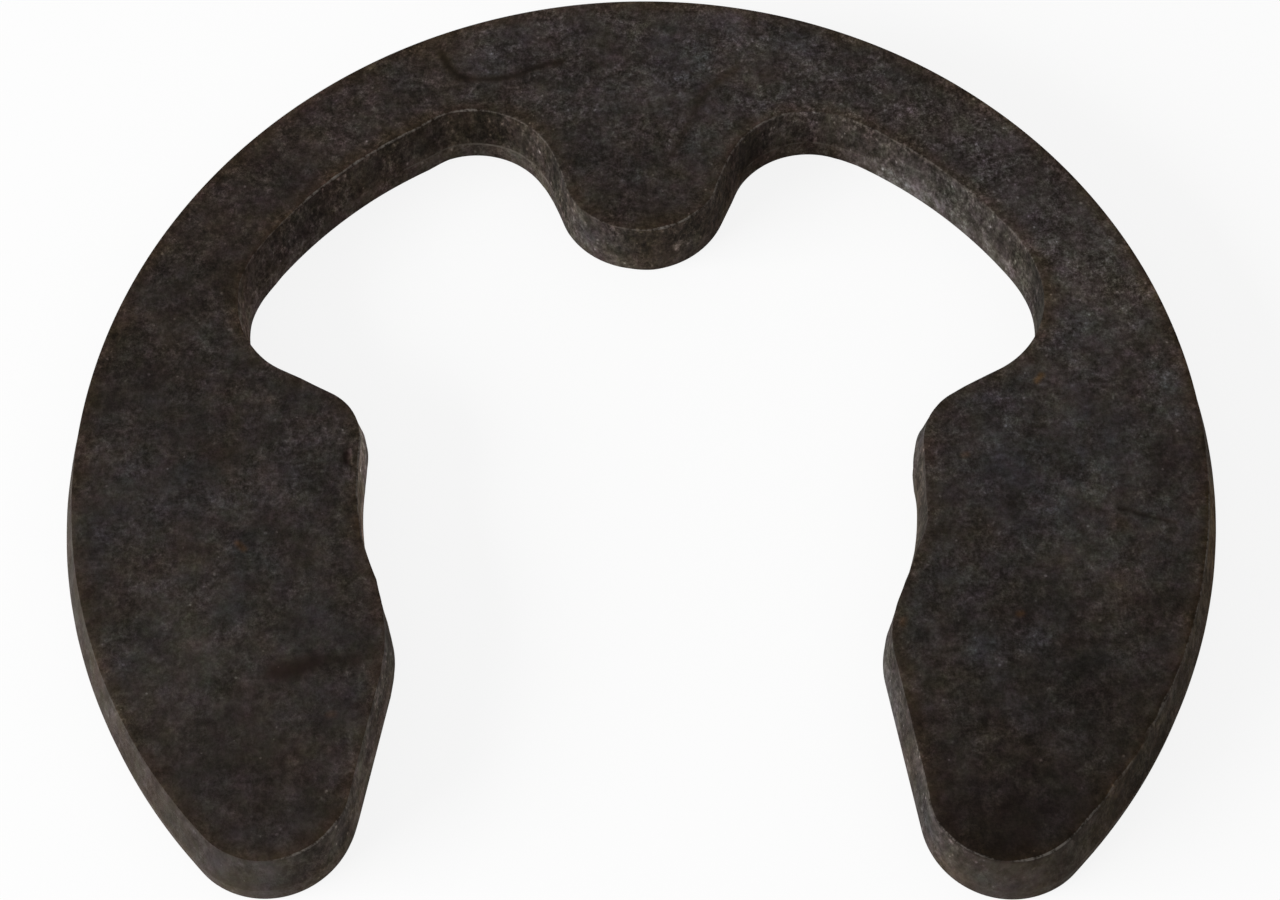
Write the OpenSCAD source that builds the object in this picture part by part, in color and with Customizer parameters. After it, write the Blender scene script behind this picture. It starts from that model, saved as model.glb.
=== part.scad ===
// E-clip: a flat retaining clip punched from spring-steel strip in one piece.
// It is pushed sideways on to a grooved shaft and grips the groove at three places:
// the rounded prong at the middle of the bridge and the curved seat inside each leg.
// Lengths are in millimetres. The origin is on the groove axis at the lower face.
// +Z is the upper face, +Y runs to the bridge and the throat opens towards -Y.

/* [Blank] */
// Outside diameter of the round rim
rim_diameter = 14; // [12:0.1:18]
// Thickness of the strip
thickness = 0.9; // [0.6:0.05:1.5]
// Distance from the groove axis to the centre of the rim, towards the bridge
rim_shift = 0.2; // [0.1:0.05:0.4]
// Height of the straight land at the foot of the outer wall
rim_land = 0.3; // [0.2:0.05:0.4]
// Distance the outer wall leans inwards between its land and the upper face
rim_lean = 0.18; // [0.08:0.01:0.24]

/* [Grip] */
// Diameter of the circle that the prong and both seats lie on
grip_diameter = 6.85; // [6.4:0.05:7.2]
// Distance each nose stands in from the side of that circle, which narrows the throat
nose_bite = 0.525; // [0.3:0.005:0.8]
// Radius of the nose below each seat
nose_radius = 1.12; // [0.8:0.02:1.3]
// Radius of the shoulder above each seat
shoulder_radius = 0.72; // [0.5:0.02:0.9]
// Height of the shoulder centre above the groove axis
shoulder_rise = 0.49; // [0.3:0.01:0.7]
// Radius of the prong tip
prong_radius = 1.1; // [0.9:0.02:1.2]

/* [Legs] */
// Distance the leg ends stop short of the bottom of the rim circle
leg_cut = 1.8; // [1.4:0.05:2.4]
// Radius of the leg end
tip_radius = 1.02; // [0.8:0.02:1.1]

/* [Windows] */
// Width of the band left between the rim and each window
band_width = 1.27; // [1.1:0.01:1.6]
// Radius of the window corner beside the shoulder
low_corner_radius = 1.18; // [0.9:0.02:1.25]
// Radius of the window corner beside the prong
high_corner_radius = 1.05; // [0.9:0.02:1.15]
// Straight run between the shoulder and the low corner
shoulder_flat = 0.7; // [0.4:0.05:1]
// Straight run of the prong flank
prong_flank = 0.5; // [0.3:0.05:0.8]

/* [Hidden] */
$fn = 120;

// neighbouring curves cross by this little so that no two of them merely touch
lap = 0.003;
// cutting shapes run this far past the faces they cut
overrun = 1;
// neighbouring shapes of one window share this many degrees
share_a = 6;
// the round back of a window starts this many degrees inside its corner centres
inset_a = 0.3;
rim_r = rim_diameter / 2;
grip_r = grip_diameter / 2;
window_r = rim_r - band_width;
rim_c = [0, rim_shift];

// leg end: rests against the rim from inside, at the reach of the leg
leg_reach = rim_r - rim_shift - leg_cut;
tip_y = tip_radius - leg_reach;
tip_gap = rim_r - tip_radius;
tip_x = sqrt(pow(tip_gap, 2) - pow(tip_y - rim_shift, 2));
tip_c = [tip_x, tip_y];
tip_dir = (tip_c - rim_c) / tip_gap;

// nose and shoulder: both rest against the grip circle from outside
nose_a = -acos((grip_r - nose_bite + nose_radius) / (grip_r + nose_radius));
nose_c = polar(grip_r + nose_radius, nose_a);
shoulder_a = asin(shoulder_rise / (grip_r + shoulder_radius));
shoulder_c = polar(grip_r + shoulder_radius, shoulder_a);

// prong tip: reaches the grip circle
prong_c = [0, grip_r + prong_radius];

// window corners: rest against the window arc from inside
low_d = window_r - low_corner_radius;
low_span = norm([low_corner_radius + shoulder_radius, shoulder_flat]);
low_a = shoulder_a + opposite_angle(norm(shoulder_c), low_d, low_span);
low_c = polar(low_d + lap, low_a);
high_d = window_r - high_corner_radius;
high_span = norm([high_corner_radius + prong_radius, prong_flank]);
high_a = 90 - opposite_angle(prong_c[1], high_d, high_span);
high_c = polar(high_d + lap, high_a);

// straight edges, each given by the way it faces
leg_n = facing(tip_c, tip_radius, nose_c, nose_radius);
shoulder_n = facing(shoulder_c, shoulder_radius, low_c, -low_corner_radius);
flank_n = facing(high_c, -high_corner_radius, prong_c, prong_radius);

// the leaning wall of the leg end: full lean where it meets the rim, none along the throat
lean_h = thickness - rim_land;
lean_share = -(tip_dir * leg_n);
tip_top_r = tip_radius - rim_lean * lean_share / (1 + lean_share);
tip_top_shift = tip_radius - tip_top_r - rim_lean;

function polar(r, a) = [r * cos(a), r * sin(a)];
function mirrored(p) = [-p[0], p[1]];
function reversed(list) = [for (i = [len(list) - 1 : -1 : 0]) list[i]];

// angle opposite side c of a triangle with sides a, b, c
function opposite_angle(a, b, c) = acos((a * a + b * b - c * c) / (2 * a * b));

// normal of the straight edge that touches two circles; a hollow circle has a negative radius
function facing(c1, r1, c2, r2) =
    let (d = c2 - c1)
    let (u = d / norm(d))
    let (k = (r1 - r2 + lap * (sign(r2) - sign(r1))) / norm(d))
    u * k + [-u[1], u[0]] * sqrt(1 - k * k);

// where that edge leaves a circle, a lap inside its outline
function leaving(c, r, n) = c + n * (r - lap * sign(r));

// the space between the legs, out past the rim
module throat() {
    out = rim_c + tip_dir * (rim_r + overrun);
    foot = [out[0], -rim_r - overrun];
    inner = [
        foot,
        out,
        tip_c,
        leaving(tip_c, tip_radius, leg_n),
        leaving(nose_c, nose_radius, leg_n),
        nose_c
    ];
    polygon(concat(inner, [[0, 0]], [for (p = reversed(inner)) mirrored(p)]));
}

// the space above one shoulder, from the grip circle to the low corner
module above_shoulder() {
    polygon([
        polar(-grip_r / 4, shoulder_a),
        shoulder_c,
        leaving(shoulder_c, shoulder_radius, shoulder_n),
        leaving(low_c, -low_corner_radius, shoulder_n),
        low_c,
        polar(low_d, low_a + share_a)
    ]);
}

// the round-backed part of one window
module window_back() {
    reach = window_r / cos((high_a - low_a) / 2) + overrun;
    intersection() {
        circle(r = window_r);
        polygon([
            [0, 0],
            polar(reach, low_a + inset_a),
            polar(reach, high_a - inset_a)
        ]);
    }
}

// the space on both sides of the prong
module beside_prong() {
    side = [
        polar(high_d, high_a - share_a),
        high_c,
        leaving(high_c, -high_corner_radius, flank_n),
        leaving(prong_c, prong_radius, flank_n)
    ];
    polygon(concat([[0, grip_r / 3]], side, [prong_c], [for (p = reversed(side)) mirrored(p)]));
}

// one side's share of everything punched out inside the rim
module punched_side() {
    above_shoulder();
    window_back();
    translate(low_c) circle(r = low_corner_radius);
    translate(high_c) circle(r = high_corner_radius);
}

// whole outline of the punched-out space, before the leg ends are put back
module punched() {
    difference() {
        union() {
            throat();
            beside_prong();
            circle(r = grip_r + lap);
            punched_side();
            mirror([1, 0]) punched_side();
        }
        translate(prong_c) circle(r = prong_radius);
        for (s = [1, -1]) {
            translate([s * nose_c[0], nose_c[1]]) circle(r = nose_radius);
            translate([s * shoulder_c[0], shoulder_c[1]]) circle(r = shoulder_radius);
        }
    }
}

// one rounded leg end: an upright land below, an oblique cone above it
module leg_end() {
    top = overrun / 10;
    foot = 2 * overrun;
    run = (lean_h + top) / lean_h;
    slide = tip_dir * tip_top_shift / lean_h;
    translate([tip_c[0], tip_c[1], -foot])
        cylinder(h = rim_land + foot, r = tip_radius + lap);
    translate([tip_c[0], tip_c[1], rim_land])
        multmatrix([[1, 0, slide[0], 0], [0, 1, slide[1], 0], [0, 0, 1, 0], [0, 0, 0, 1]])
            cylinder(
                h = lean_h + top,
                r1 = tip_radius + lap,
                r2 = tip_radius + lap - (tip_radius - tip_top_r) * run
            );
}

// the round blank with its land and leaning wall
module blank() {
    translate([0, rim_shift, 0])
        rotate_extrude()
            polygon([
                [0, 0],
                [rim_r, 0],
                [rim_r, rim_land],
                [rim_r - rim_lean, thickness],
                [0, thickness]
            ]);
}

module clip() {
    color("dimgray")
        difference() {
            blank();
            difference() {
                translate([0, 0, -overrun])
                    linear_extrude(height = thickness + 2 * overrun)
                        punched();
                leg_end();
                mirror([1, 0, 0]) leg_end();
            }
        }
}

clip();
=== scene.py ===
import math

import bpy
import numpy as np
from mathutils import Matrix, Vector, kdtree
from mathutils.geometry import delaunay_2d_cdt


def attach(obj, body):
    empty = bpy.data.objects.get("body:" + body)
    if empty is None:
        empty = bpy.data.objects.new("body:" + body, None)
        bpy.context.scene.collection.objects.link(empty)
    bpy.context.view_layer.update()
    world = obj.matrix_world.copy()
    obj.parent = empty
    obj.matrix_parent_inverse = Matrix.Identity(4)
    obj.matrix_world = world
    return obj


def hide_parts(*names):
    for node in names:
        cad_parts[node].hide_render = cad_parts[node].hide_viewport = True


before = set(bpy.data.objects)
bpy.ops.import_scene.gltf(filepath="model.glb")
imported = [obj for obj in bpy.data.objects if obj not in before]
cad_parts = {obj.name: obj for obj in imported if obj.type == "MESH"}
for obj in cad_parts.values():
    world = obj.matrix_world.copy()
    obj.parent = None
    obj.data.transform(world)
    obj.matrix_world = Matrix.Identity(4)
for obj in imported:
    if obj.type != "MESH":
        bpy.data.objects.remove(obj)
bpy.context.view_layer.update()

# Clip: one flat ring of spring-steel strip, punched out in a single stroke, hardened and
# then black phosphated and oiled. The stroke left a rolled lower edge, a smooth upright land
# above it, and torn metal that leans back from there to the sharp upper edge.
MM = 0.001
thickness = 0.9
rim_radius = 7.0
rim_centre = np.array([0.0, 0.2])
land_height = 0.3
rim_lean = 0.18
grip_radius = 3.425
nose_bite = 0.525
nose_radius = 1.12
shoulder_radius = 0.72
shoulder_rise = 0.49
prong_radius = 1.1
leg_cut = 1.8
tip_radius = 1.02
band_width = 1.27
low_corner_radius = 1.18
high_corner_radius = 1.05
shoulder_flat = 0.7
prong_flank = 0.5

outline_step = 0.045
top_grid = 0.055
lower_grid = 0.12
roll_radius = 0.018
edge_width = 0.009
worn_edge_width = 0.026
ledge_depth = 0.016
ledge_height = 0.018


def on_circle(radius, angle):
    return radius * np.array([math.cos(angle), math.sin(angle)])


def heading(vector):
    return math.atan2(vector[1], vector[0])


def opposite_angle(a, b, c):
    return math.acos((a * a + b * b - c * c) / (2 * a * b))


def straight_edge_facing(centre_1, radius_1, centre_2, radius_2):
    """Outward normal of the straight edge that touches two rounds; a hollow radius is negative."""
    between = centre_2 - centre_1
    length = np.linalg.norm(between)
    along = between / length
    share = (radius_1 - radius_2) / length
    return along * share + np.array([-along[1], along[0]]) * math.sqrt(1 - share * share)


window_radius = rim_radius - band_width
tip_gap = rim_radius - tip_radius
tip_y = tip_radius - (rim_radius - rim_centre[1] - leg_cut)
tip_centre = np.array([math.sqrt(tip_gap**2 - (tip_y - rim_centre[1]) ** 2), tip_y])
tip_way = (tip_centre - rim_centre) / tip_gap
nose_angle = -math.acos((grip_radius - nose_bite + nose_radius) / (grip_radius + nose_radius))
nose_centre = on_circle(grip_radius + nose_radius, nose_angle)
shoulder_angle = math.asin(shoulder_rise / (grip_radius + shoulder_radius))
shoulder_centre = on_circle(grip_radius + shoulder_radius, shoulder_angle)
prong_centre = np.array([0.0, grip_radius + prong_radius])
low_reach = window_radius - low_corner_radius
low_span = math.hypot(low_corner_radius + shoulder_radius, shoulder_flat)
low_angle = shoulder_angle + opposite_angle(grip_radius + shoulder_radius, low_reach, low_span)
low_centre = on_circle(low_reach, low_angle)
high_reach = window_radius - high_corner_radius
high_span = math.hypot(high_corner_radius + prong_radius, prong_flank)
high_angle = math.pi / 2 - opposite_angle(prong_centre[1], high_reach, high_span)
high_centre = on_circle(high_reach, high_angle)
leg_faces = straight_edge_facing(tip_centre, tip_radius, nose_centre, nose_radius)
shoulder_faces = straight_edge_facing(shoulder_centre, shoulder_radius, low_centre, -low_corner_radius)
flank_faces = straight_edge_facing(high_centre, -high_corner_radius, prong_centre, prong_radius)
lean_share = -float(tip_way @ leg_faces)
tip_top_radius = tip_radius - rim_lean * lean_share / (1 + lean_share)
tip_top_shift = tip_radius - tip_top_radius - rim_lean

# Right half of the outline, clockwise from the top of the rim to the end of the prong: the foot
# of the wall, the same place at the upper face, and the way the wall faces. The punch cut a
# little unevenly, so each stretch also has how far its foot stands proud of the outline and how
# far its upper edge lies back. Each stretch also has painted light and shade: how much lighter
# its land and its torn metal are painted. It also has how much browner they are, and how much
# greyer the land alone is, on the right side and on the left.
foot, crest, faces_out, uneven_cut_and_painted_light = [], [], [], []
no_change = (0.0, 0.0)


def trace_round(
    centre, radius, start, end, hollow=False, lean=None,
    proud=no_change, back=no_change, land=no_change, torn=no_change, brown=no_change, grey=no_change,
):
    """Add an arc to the outline: a full round runs clockwise, a hollow one anticlockwise."""
    turn = 2 * math.pi
    while hollow and end < start:
        end += turn
    while not hollow and end > start:
        end -= turn
    steps = max(2, math.ceil(abs(end - start) * radius / outline_step))
    for angle in np.linspace(start, end, steps, endpoint=False):
        way = on_circle(1.0, angle)
        foot.append(centre + radius * way)
        crest.append(lean(way) if lean else foot[-1])
        faces_out.append(-way if hollow else way)
        uneven_cut_and_painted_light.append((*proud, *back, *land, *torn, *brown, *grey))


def trace_straight(
    start, end, way, crest_start=None,
    proud=no_change, back=no_change, land=no_change, torn=no_change, brown=no_change, grey=no_change,
):
    """Add a straight stretch to the outline, up to but without its end."""
    crest_start = start if crest_start is None else crest_start
    steps = max(2, math.ceil(np.linalg.norm(end - start) / outline_step))
    for share in np.linspace(0, 1, steps, endpoint=False):
        foot.append(start + (end - start) * share)
        crest.append(crest_start + (end - crest_start) * share)
        faces_out.append(way)
        uneven_cut_and_painted_light.append((*proud, *back, *land, *torn, *brown, *grey))


groove_axis = np.zeros(2)
trace_round(
    rim_centre, rim_radius, math.pi / 2, heading(tip_way),
    lean=lambda way: rim_centre + (rim_radius - rim_lean) * way,
    proud=(-0.005, -0.005), torn=(0.0, -0.06), brown=(0.05, 0.0),
)
trace_round(
    tip_centre, tip_radius, heading(tip_way), heading(leg_faces),
    lean=lambda way: tip_centre + tip_way * tip_top_shift + tip_top_radius * way,
    land=(-0.2, 0.1), torn=(0.14, 0.15), brown=(-0.045, -0.075), grey=(-0.08, -0.04),
)
trace_straight(
    tip_centre + leg_faces * tip_radius, nose_centre + leg_faces * nose_radius, leg_faces,
    crest_start=tip_centre + tip_way * tip_top_shift + leg_faces * tip_top_radius,
    proud=(0.0, 0.01), back=(0.05, 0.01), land=(-0.4, 0.58), torn=(-0.3, 0.31), grey=(0.024, 0.038),
)
trace_round(
    nose_centre, nose_radius, heading(leg_faces), nose_angle + math.pi,
    proud=(0.0, -0.012), back=(0.05, 0.05), land=(-0.25, 0.35), torn=(-0.2, 0.3), grey=(0.02, 0.03),
)
trace_round(
    groove_axis, grip_radius, nose_angle, shoulder_angle, hollow=True,
    proud=(0.035, 0.028), back=(0.005, -0.05), land=(-0.45, 1.4), torn=(-0.62, 1.22),
    brown=(0.13, 0.015), grey=(0.0, 0.06),
)
trace_round(
    shoulder_centre, shoulder_radius, shoulder_angle + math.pi, heading(shoulder_faces),
    proud=(0.0, 0.01), back=(0.04, -0.02), land=(-0.65, 0.95), torn=(0.08, 1.5),
    brown=(-0.03, -0.01), grey=(0.01, 0.06),
)
trace_straight(
    shoulder_centre + shoulder_faces * shoulder_radius,
    low_centre - shoulder_faces * low_corner_radius,
    shoulder_faces, proud=(0.01, 0.02), back=(0.01, -0.01),
)
trace_round(
    low_centre, low_corner_radius, heading(-shoulder_faces), low_angle, hollow=True,
    proud=(0.0, 0.02), back=(0.015, 0.015), land=(-0.75, 0.5), torn=(-1.05, 0.42),
    brown=(0.03, 0.015), grey=(0.02, 0.02),
)
trace_round(
    groove_axis, window_radius, low_angle, high_angle, hollow=True,
    proud=(-0.014, 0.038), back=(0.055, 0.035), land=(0.22, 0.06), torn=(-0.15, 0.0),
    brown=(0.02, 0.0), grey=(0.052, 0.0),
)
trace_round(
    high_centre, high_corner_radius, high_angle, heading(-flank_faces), hollow=True,
    proud=(0.01, 0.01), back=(0.055, 0.09), land=(0.0, -0.06), torn=(0.0, -0.55), brown=(0.0, 0.075),
    grey=(-0.035, 0.055),
)
trace_straight(
    high_centre - flank_faces * high_corner_radius, prong_centre + flank_faces * prong_radius, flank_faces,
    proud=(0.02, -0.01), back=(0.065, 0.09), land=(0.15, -0.36), torn=(-0.16, -0.75),
    brown=(0.115, 0.09), grey=(-0.025, 0.06),
)
trace_round(
    prong_centre, prong_radius, heading(flank_faces), -math.pi / 2,
    proud=(0.02, 0.0), back=(0.02, 0.035), land=(-0.45, -0.08), torn=(-0.05, -0.1),
    brown=(0.045, 0.01), grey=(-0.015, -0.012),
)


def close_loop(half, middle, left_half):
    """The right half, the end of the prong and the left half, turned anticlockwise."""
    return np.concatenate([half, [middle], left_half[1:][::-1]])[::-1]


prong_end = prong_centre - [0.0, prong_radius]
to_left = np.array([-1.0, 1.0])
foot = close_loop(np.array(foot), prong_end, np.array(foot) * to_left)
crest = close_loop(np.array(crest), prong_end, np.array(crest) * to_left)
faces_out = close_loop(np.array(faces_out), [0.0, -1.0], np.array(faces_out) * to_left)
uneven_cut_and_painted_light = np.array(uneven_cut_and_painted_light)
# The land and torn tones of each stretch are painted light and shade, lighter or darker by stretch.
foot_proud, crest_back, land_painted_light, torn_painted_light, wall_brown, land_grey = (
    close_loop(uneven_cut_and_painted_light[:, right], uneven_cut_and_painted_light[-1, right : right + 2].mean(), uneven_cut_and_painted_light[:, right + 1])
    for right in range(0, uneven_cut_and_painted_light.shape[1], 2)
)
count = len(foot)
run = np.concatenate([[0.0], np.cumsum(np.linalg.norm(np.diff(foot, axis=0), axis=1))])
turn_of = run / (run[-1] + np.linalg.norm(foot[0] - foot[-1])) * 2 * math.pi


def evened(line, reach):
    """A line of values round the outline, averaged over the points within a reach on both sides."""
    steps = round(reach / outline_step)
    return np.mean([np.roll(line, shift) for shift in range(-steps, steps + 1)], axis=0)


def ripple(seed, waves, lowest=3, highest=90):
    """A smooth uneven line round the outline, from -1 to 1, that closes on itself."""
    draw = np.random.default_rng(seed)
    total = np.zeros(count)
    for _ in range(waves):
        times = int(draw.integers(lowest, highest))
        total += np.sin(turn_of * times + draw.uniform(0, 2 * math.pi)) / math.sqrt(times)
    return total / np.abs(total).max()


def away_from(path, places):
    """Distance of each place from a line through the points of a path."""
    nearest = np.full(len(places), np.inf)
    for start, end in zip(path[:-1], path[1:]):
        start, along = np.array(start), np.subtract(end, start)
        share = np.clip((places - start) @ along / (along @ along), 0, 1)
        nearest = np.minimum(nearest, np.linalg.norm(places - start - share[:, None] * along, axis=1))
    return nearest


def fading(distance, reach):
    """1 at no distance, falling softly to 0 at the reach."""
    share = np.clip(1 - distance / reach, 0, 1)
    return share * share * (3 - 2 * share)


def near(places, centre, reach):
    """1 at a centre, falling softly to 0 at the reach from it."""
    return fading(np.linalg.norm(places - np.array(centre), axis=1), reach)


# Each value of the uneven cut and of the painted light and shade runs over into the next
# stretch, and a few places of the cut stand out alone.
leaning = abs(np.sum((crest - foot) * faces_out, axis=1)) > 0.5 * rim_lean
inner_wall = evened((~leaning).astype(float), reach=0.36)
foot_proud = evened(foot_proud, reach=0.14)
crest_back, land_painted_light, torn_painted_light, wall_brown, land_grey = (
    evened(line, reach=0.22) for line in (crest_back, land_painted_light, torn_painted_light, wall_brown, land_grey)
)
for x, y, reach, prouder, further_back in (
    (3.52, 0.9, 0.42, 0.07, 0.0), (3.39, 0.45, 0.5, 0.03, 0.0), (3.37, -0.62, 0.45, 0.0, 0.05),
    (-3.54, 0.92, 0.5, 0.085, 0.0), (3.1, -1.5, 0.4, -0.03, 0.0), (-4.84, 3.0, 0.45, 0.02, 0.0),
):
    share = near(foot, (x, y), reach)
    foot_proud += prouder * share
    crest_back += further_back * share
foot = foot + faces_out * foot_proud[:, None]
crest = crest - faces_out * crest_back[:, None]

# Stretches of the upper edge painted bright, partly rubbed bare metal and partly a painted
# highlight on the edge, and of the land whose top catches the light.
worn_and_glint_fade = 2.5
ledge_fade = 0.5
worn_and_glint = np.zeros(count)
for width, strength, path in (
    (0.10, 0.45, ((-4.95, 2.7), (-4.75, 3.25), (-4.4, 3.85))),
    (0.12, 1.0, ((-4.4, 3.85), (-3.85, 4.35), (-3.1, 4.9), (-2.6, 5.15), (-2.1, 5.3))),
    (0.14, 0.5, ((-1.75, 5.25), (-1.4, 5.1), (-1.15, 4.75), (-1.0, 4.4), (-0.9, 4.0))),
    (0.10, 0.5, ((-0.65, 3.72), (-0.25, 3.5), (0.1, 3.43))),
    (0.10, 1.0, ((0.25, 3.46), (0.5, 3.55), (0.8, 3.85))),
    (0.15, 1.0, ((0.93, 4.15), (1.05, 4.55), (1.2, 4.85), (1.4, 5.05), (1.75, 5.25))),
    (0.12, 0.5, ((2.7, 5.05), (3.3, 4.75), (4.0, 4.2), (4.5, 3.55), (4.85, 3.0))),
    (0.09, 1.0, ((3.45, 4.62), (3.58, 4.52))), (0.07, 1.0, ((4.57, 3.42), (4.63, 3.34))),
    (0.08, 0.9, ((3.0, 5.02), (3.12, 4.95))),
    (0.12, 0.9, ((-3.9, -4.82), (-3.65, -4.7), (-3.4, -4.48))),
    (0.12, 1.0, ((4.4, -4.83), (4.75, -4.6), (5.1, -4.3))),
    (0.10, 0.5, ((5.2, -4.2), (5.4, -3.95), (5.62, -3.68))),
    (0.06, 1.0, ((-5.62, -3.42), (-5.58, -3.48))), (0.06, 1.0, ((-5.22, -4.0), (-5.18, -4.05))),
    (0.05, 0.9, ((-6.45, -1.72), (-6.43, -1.78))), (0.05, 0.9, ((-6.3, -2.15), (-6.28, -2.2))),
    (0.12, 0.6, ((3.25, -4.1), (3.5, -4.57), (3.85, -4.77))),
    (0.10, 0.7, ((-3.4, 0.5), (-3.37, -0.3), (-3.3, -1.0))),
    (0.15, 0.5, ((6.7, 0.3), (6.75, -0.9), (6.4, -2.1), (5.95, -3.1))),
):
    worn_and_glint = np.maximum(worn_and_glint, strength * fading(away_from(path, crest), width * worn_and_glint_fade))
worn_and_glint *= 0.7 + 0.5 * ripple(seed=21, waves=60, lowest=20, highest=400)
worn_and_glint = evened(worn_and_glint, reach=0.05).clip(0, 1)
lit_ledge = np.zeros(count)
for strength, path in (
    (1.0, ((-3.0, 4.75), (-2.3, 5.2), (-1.6, 5.2), (-1.1, 4.7))),
    (0.8, ((1.3, 5.0), (1.8, 5.25), (2.6, 5.0))),
    (0.4, ((2.6, 5.0), (3.9, 4.2), (4.8, 3.0))),
    (0.3, ((3.0, -2.6), (3.5, -4.2))),
):
    lit_ledge = np.maximum(lit_ledge, strength * fading(away_from(path, foot), ledge_fade))
lit_ledge *= 0.75 + 0.45 * ripple(seed=22, waves=60, lowest=12, highest=300)
lit_ledge = lit_ledge.clip(0, 1)

# The wall, ring by ring from the lower face up: height, how far it stands in, and its zone. The
# land ends in a rippled line, with a small ledge where it catches the light. The upper edge is
# broken back further along its bright stretches, which are partly rubbed and partly a painted
# highlight, and three chips are out of it on the right leg.
TOP, EDGE, TORN, LEDGE, LAND, ROLL, UNDER = range(7)
land_dip = 0.025
land_ripple = 0.022
ledge_out_share = 0.4
ledge_ripple = 0.6
land_top = land_height - land_dip + land_ripple * ripple(seed=11, waves=40)
ledge = ledge_depth * inner_wall * evened(lit_ledge, reach=0.3)
land_in = -ledge_out_share * ledge
torn_in = (1 - ledge_out_share) * ledge * (1 + ledge_ripple * ripple(seed=12, waves=30))
edge_in = edge_width + worn_edge_width * worn_and_glint
for x, y, reach, chip_depth in (
    (6.05, -2.95, 0.24, 0.02), (5.83, -3.33, 0.26, 0.035), (5.43, -3.92, 0.22, 0.018),
):
    edge_in += chip_depth * near(crest, (x, y), reach)
rings, ring_zone = [], []


def add_ring(height, inset, zone):
    height = np.broadcast_to(height, count)
    share = np.clip((height - land_height) / (thickness - land_height), 0, 1)[:, None]
    place = foot + (crest - foot) * share - faces_out * np.broadcast_to(inset, count)[:, None]
    rings.append(np.column_stack([place, height]))
    ring_zone.append(zone)


roll_steps = 3
torn_rings = 10
for step in range(roll_steps + 1):
    angle = step / roll_steps * math.pi / 2
    add_ring(roll_radius * (1 - math.cos(angle)), land_in + roll_radius * (1 - math.sin(angle)), ROLL)
for share in (0.35, 0.7, 1.0):
    add_ring(roll_radius + (land_top - roll_radius) * share, land_in, LAND)
ledge_top = land_top + ledge_height
add_ring(ledge_top, torn_in, LEDGE)
edge_drop = 0.7 * edge_in
torn_height = thickness - edge_drop - ledge_top
for share in np.linspace(1 / torn_rings, 1.0, torn_rings):
    add_ring(ledge_top + torn_height * share, torn_in * (1 - share), TORN)
add_ring(thickness - edge_in * 0.2, edge_in * 0.35, EDGE)
add_ring(thickness, edge_in, EDGE)


def inner_points(loop, spacing, margin, wanted=None):
    """A staggered grid of points inside a closed outline, and how far each is from its edge."""
    after = np.roll(loop, -1, axis=0)
    rows = []
    row_height = spacing * math.sqrt(3) / 2
    for row, y in enumerate(np.arange(loop[:, 1].min(), loop[:, 1].max(), row_height)):
        cuts = (loop[:, 1] <= y) != (after[:, 1] <= y)
        a, b = loop[cuts], after[cuts]
        crossings = np.sort(a[:, 0] + (y - a[:, 1]) / (b[:, 1] - a[:, 1]) * (b[:, 0] - a[:, 0]))
        for start, end in zip(crossings[::2], crossings[1::2]):
            first = math.ceil(start / spacing) + 0.5 * (row % 2)
            across = np.arange(first * spacing, end, spacing)
            rows.append(np.column_stack([across, np.full(len(across), y)]))
    found = np.concatenate(rows)
    if wanted:
        found = found[wanted(found)]
    tree = kdtree.KDTree(len(loop))
    for index, place in enumerate(loop):
        tree.insert((place[0], place[1], 0.0), index)
    tree.balance()
    gaps = np.array([tree.find((x, y, 0.0))[2] for x, y in found])
    return found[gaps > margin], gaps[gaps > margin]


def fill_face(loop, inside):
    """Triangles over a closed outline and the points inside it, numbered loop first."""
    places = [Vector(place) for place in np.concatenate([loop, inside])]
    around = [(i, (i + 1) % len(loop)) for i in range(len(loop))]
    fill_inside, same_place = 1, 1e-7
    _, _, triangles, origin, _, _ = delaunay_2d_cdt(places, around, [], fill_inside, same_place)
    number = [old[0] for old in origin]
    return [[number[i] for i in triangle] for triangle in triangles]


# Marks on the upper face: a scratch across the right leg, a nick in the left one, the lines that
# oil and handling left in the coat, and specks of rust. The points lie closer along each of them.
scratch = ((5.72, -0.455), (5.83, -0.475), (5.95, -0.53), (6.12, -0.575), (6.36, -0.64))
nick = ((-3.517, 0.31), (-3.525, 0.26), (-3.515, 0.17))
nick_lip = ((-3.485, 0.36), (-3.476, 0.28), (-3.456, 0.14))
stain_line = (
    (-2.62, 6.2), (-2.5, 5.96), (-2.36, 5.81), (-2.2, 5.78), (-2.0, 5.77), (-1.81, 5.79), (-1.65, 5.82),
    (-1.54, 5.88), (-1.41, 5.94), (-1.22, 6.01), (-1.05, 6.05),
)
streak = ((0.4, 4.6), (0.63, 5.13), (0.82, 5.59), (1.21, 5.91))
smear = ((-4.2, -2.56), (-3.97, -2.53), (-3.8, -2.43), (-3.55, -2.395), (-3.28, -2.41))
right_margin = ((6.72, 0.35), (6.7, -0.2), (6.66, -0.75))
low_margin = ((5.95, -3.05), (5.45, -3.8))
rust_specks = (
    ((4.44, -1.83), (4.48, -1.82)), ((4.84, 1.28), (4.9, 1.36)), ((-4.76, -0.9), (-4.68, -0.98)),
)
faint_specks = (
    ((3.9, 0.26), (3.94, 0.27)), ((-3.55, -3.09), (-3.5, -3.08)), ((3.08, -1.95), (3.1, -1.9)),
)
fine_marks = ((scratch, 0.09), (nick, 0.18), (stain_line, 0.09), (streak, 0.09))
fine_marks += tuple((speck, 0.12) for speck in rust_specks + faint_specks)


def close_to_mark(places):
    return np.any([away_from(path, places) < reach for path, reach in fine_marks], axis=0)


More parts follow.
